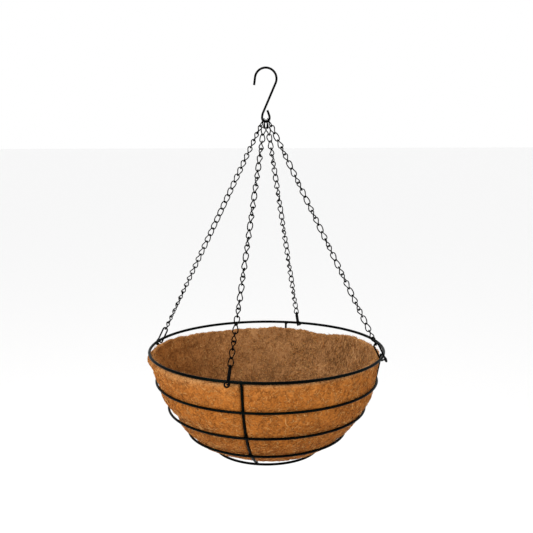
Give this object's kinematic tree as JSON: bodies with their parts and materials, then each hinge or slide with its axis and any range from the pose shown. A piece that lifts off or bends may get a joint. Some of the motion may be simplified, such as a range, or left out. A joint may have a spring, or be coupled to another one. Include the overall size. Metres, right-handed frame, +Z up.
{
  "type": "hanging basket",
  "caption": "Round-bottomed wire hanging basket with a coconut fibre liner, hung by twisted-link chains that clip to its rim and meet on an S-hook.",
  "frame": {"origin": "inner top of the S-hook's crown, where the hook rests on its support", "axes": "+Z up along the line from the basket to its support; the hook lies in the XZ plane with its crown open towards -X; -Y is the front"},
  "size_m": [0.3562, 0.3562, 0.5705],
  "materials": {
    "hook_wire": "gloss",
    "chain_wire": "satin",
    "clip_wire": "gloss",
    "frame_wire": "gloss",
    "coir": "matte"
  },
  "bodies": {
    "s_hook": {"s_hook": "hook_wire"},
    "basket": {"top_link_1": "chain_wire", "top_link_2": "chain_wire", "top_link_3": "chain_wire", "top_link_4": "chain_wire", "rim_hoop": "frame_wire", "upper_hoop": "frame_wire", "middle_hoop": "frame_wire", "lower_hoop": "frame_wire", "base_ring": "frame_wire", "rib_long_way": "frame_wire", "rib_cross_way": "frame_wire"},
    "chain_1": {"chain_1": "chain_wire"},
    "chain_2": {"chain_2": "chain_wire"},
    "chain_3": {"chain_3": "chain_wire"},
    "chain_4": {"chain_4": "chain_wire"},
    "clip_1": {"clip_1": "clip_wire"},
    "clip_2": {"clip_2": "clip_wire"},
    "clip_3": {"clip_3": "clip_wire"},
    "clip_4": {"clip_4": "clip_wire"},
    "liner": {"coir_liner": "coir"}
  },
  "joints": [
    {"name": "basket_swing", "type": "hinge", "parent": "s_hook", "child": "basket", "pos_m": [0, 0, -0.074], "axis": [1, 0, 0], "range_deg": [-20, 20]},
    {"name": "chain_1_twist", "type": "hinge", "parent": "basket", "child": "chain_1", "pos_m": [-0.05058, -0.16858, -0.413], "axis": [0.1289, 0.4423, 0.8875], "range_deg": [-12, 12]},
    {"name": "chain_2_twist", "type": "hinge", "parent": "basket", "child": "chain_2", "pos_m": [0.16748, -0.05409, -0.413], "axis": [-0.4294, 0.142, 0.8919], "range_deg": [-12, 12]},
    {"name": "chain_3_twist", "type": "hinge", "parent": "basket", "child": "chain_3", "pos_m": [0.05409, 0.16748, -0.413], "axis": [-0.1382, -0.4395, 0.8876], "range_deg": [-12, 12]},
    {"name": "chain_4_twist", "type": "hinge", "parent": "basket", "child": "chain_4", "pos_m": [-0.16748, 0.05409, -0.413], "axis": [0.4294, -0.142, 0.8919], "range_deg": [-12, 12]},
    {"name": "clip_1_rock", "type": "hinge", "parent": "basket", "child": "clip_1", "pos_m": [-0.05058, -0.16858, -0.413], "axis": [0.9578, -0.2874, 0], "range_deg": [-2.5, 2.5]},
    {"name": "clip_2_rock", "type": "hinge", "parent": "basket", "child": "clip_2", "pos_m": [0.16748, -0.05409, -0.413], "axis": [0.3074, 0.9516, 0], "range_deg": [-2.5, 2.5]},
    {"name": "clip_3_rock", "type": "hinge", "parent": "basket", "child": "clip_3", "pos_m": [0.05409, 0.16748, -0.413], "axis": [-0.9516, 0.3074, 0], "range_deg": [-2.5, 2.5]},
    {"name": "clip_4_rock", "type": "hinge", "parent": "basket", "child": "clip_4", "pos_m": [-0.16748, 0.05409, -0.413], "axis": [-0.3074, -0.9516, 0], "range_deg": [-2.5, 2.5]},
    {"name": "liner_lift", "type": "slide", "parent": "basket", "child": "liner", "axis": [0, 0, 1], "range_m": [0, 0.008]}
  ]
}
